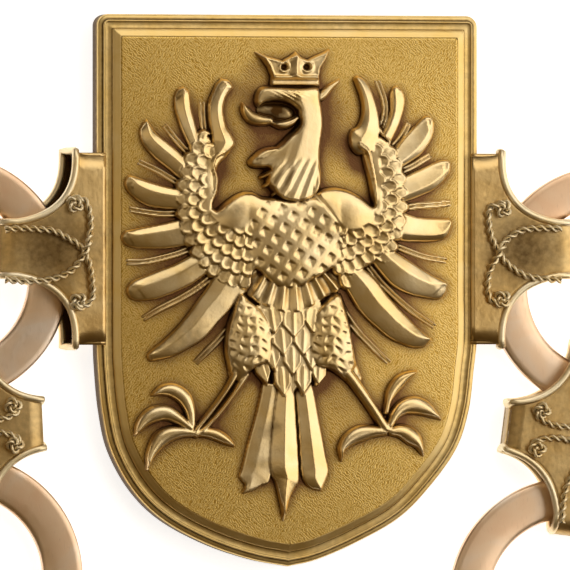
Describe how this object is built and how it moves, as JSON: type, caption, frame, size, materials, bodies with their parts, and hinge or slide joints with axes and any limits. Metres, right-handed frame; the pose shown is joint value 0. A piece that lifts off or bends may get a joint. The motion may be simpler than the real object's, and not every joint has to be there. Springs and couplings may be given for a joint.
{
  "type": "ceremonial chain with a shield plaque",
  "caption": "Ceremonial chain laid flat: a gilt shield with a raised crowned eagle, in a closed loop of broad flat rings joined by folded sheet cuffs.",
  "frame": {"origin": "middle of the shield's back, on the plane that the whole chain lies on", "axes": "+Z out of the shield's face, +Y towards the shield's top edge, +X to the right seen from the front"},
  "size_m": [0.153, 0.4674, 0.0101],
  "materials": {
    "gilt": "gilded, polished on the high places and patinated brown in the hollows",
    "ring_metal": "polished flat sheet with a burnished edge"
  },
  "bodies": {
    "root": {"shield": "gilt", "ring_01": "ring_metal", "ring_02": "ring_metal", "ring_03": "ring_metal", "ring_04": "ring_metal", "ring_05": "ring_metal", "ring_06": "ring_metal", "ring_07": "ring_metal", "ring_08": "ring_metal", "ring_09": "ring_metal", "ring_10": "ring_metal", "ring_11": "ring_metal", "ring_12": "ring_metal", "ring_13": "ring_metal", "ring_14": "ring_metal", "ring_15": "ring_metal", "ring_16": "ring_metal", "ring_17": "ring_metal", "ring_18": "ring_metal", "link_01": "gilt", "link_02": "gilt", "link_03": "gilt", "link_04": "gilt", "link_05": "gilt", "link_06": "gilt", "link_07": "gilt", "link_08": "gilt", "link_09": "gilt", "link_10": "gilt", "link_11": "gilt", "link_12": "gilt", "link_13": "gilt", "link_14": "gilt", "link_15": "gilt", "link_16": "gilt", "link_17": "gilt"}
  },
  "joints": []
}
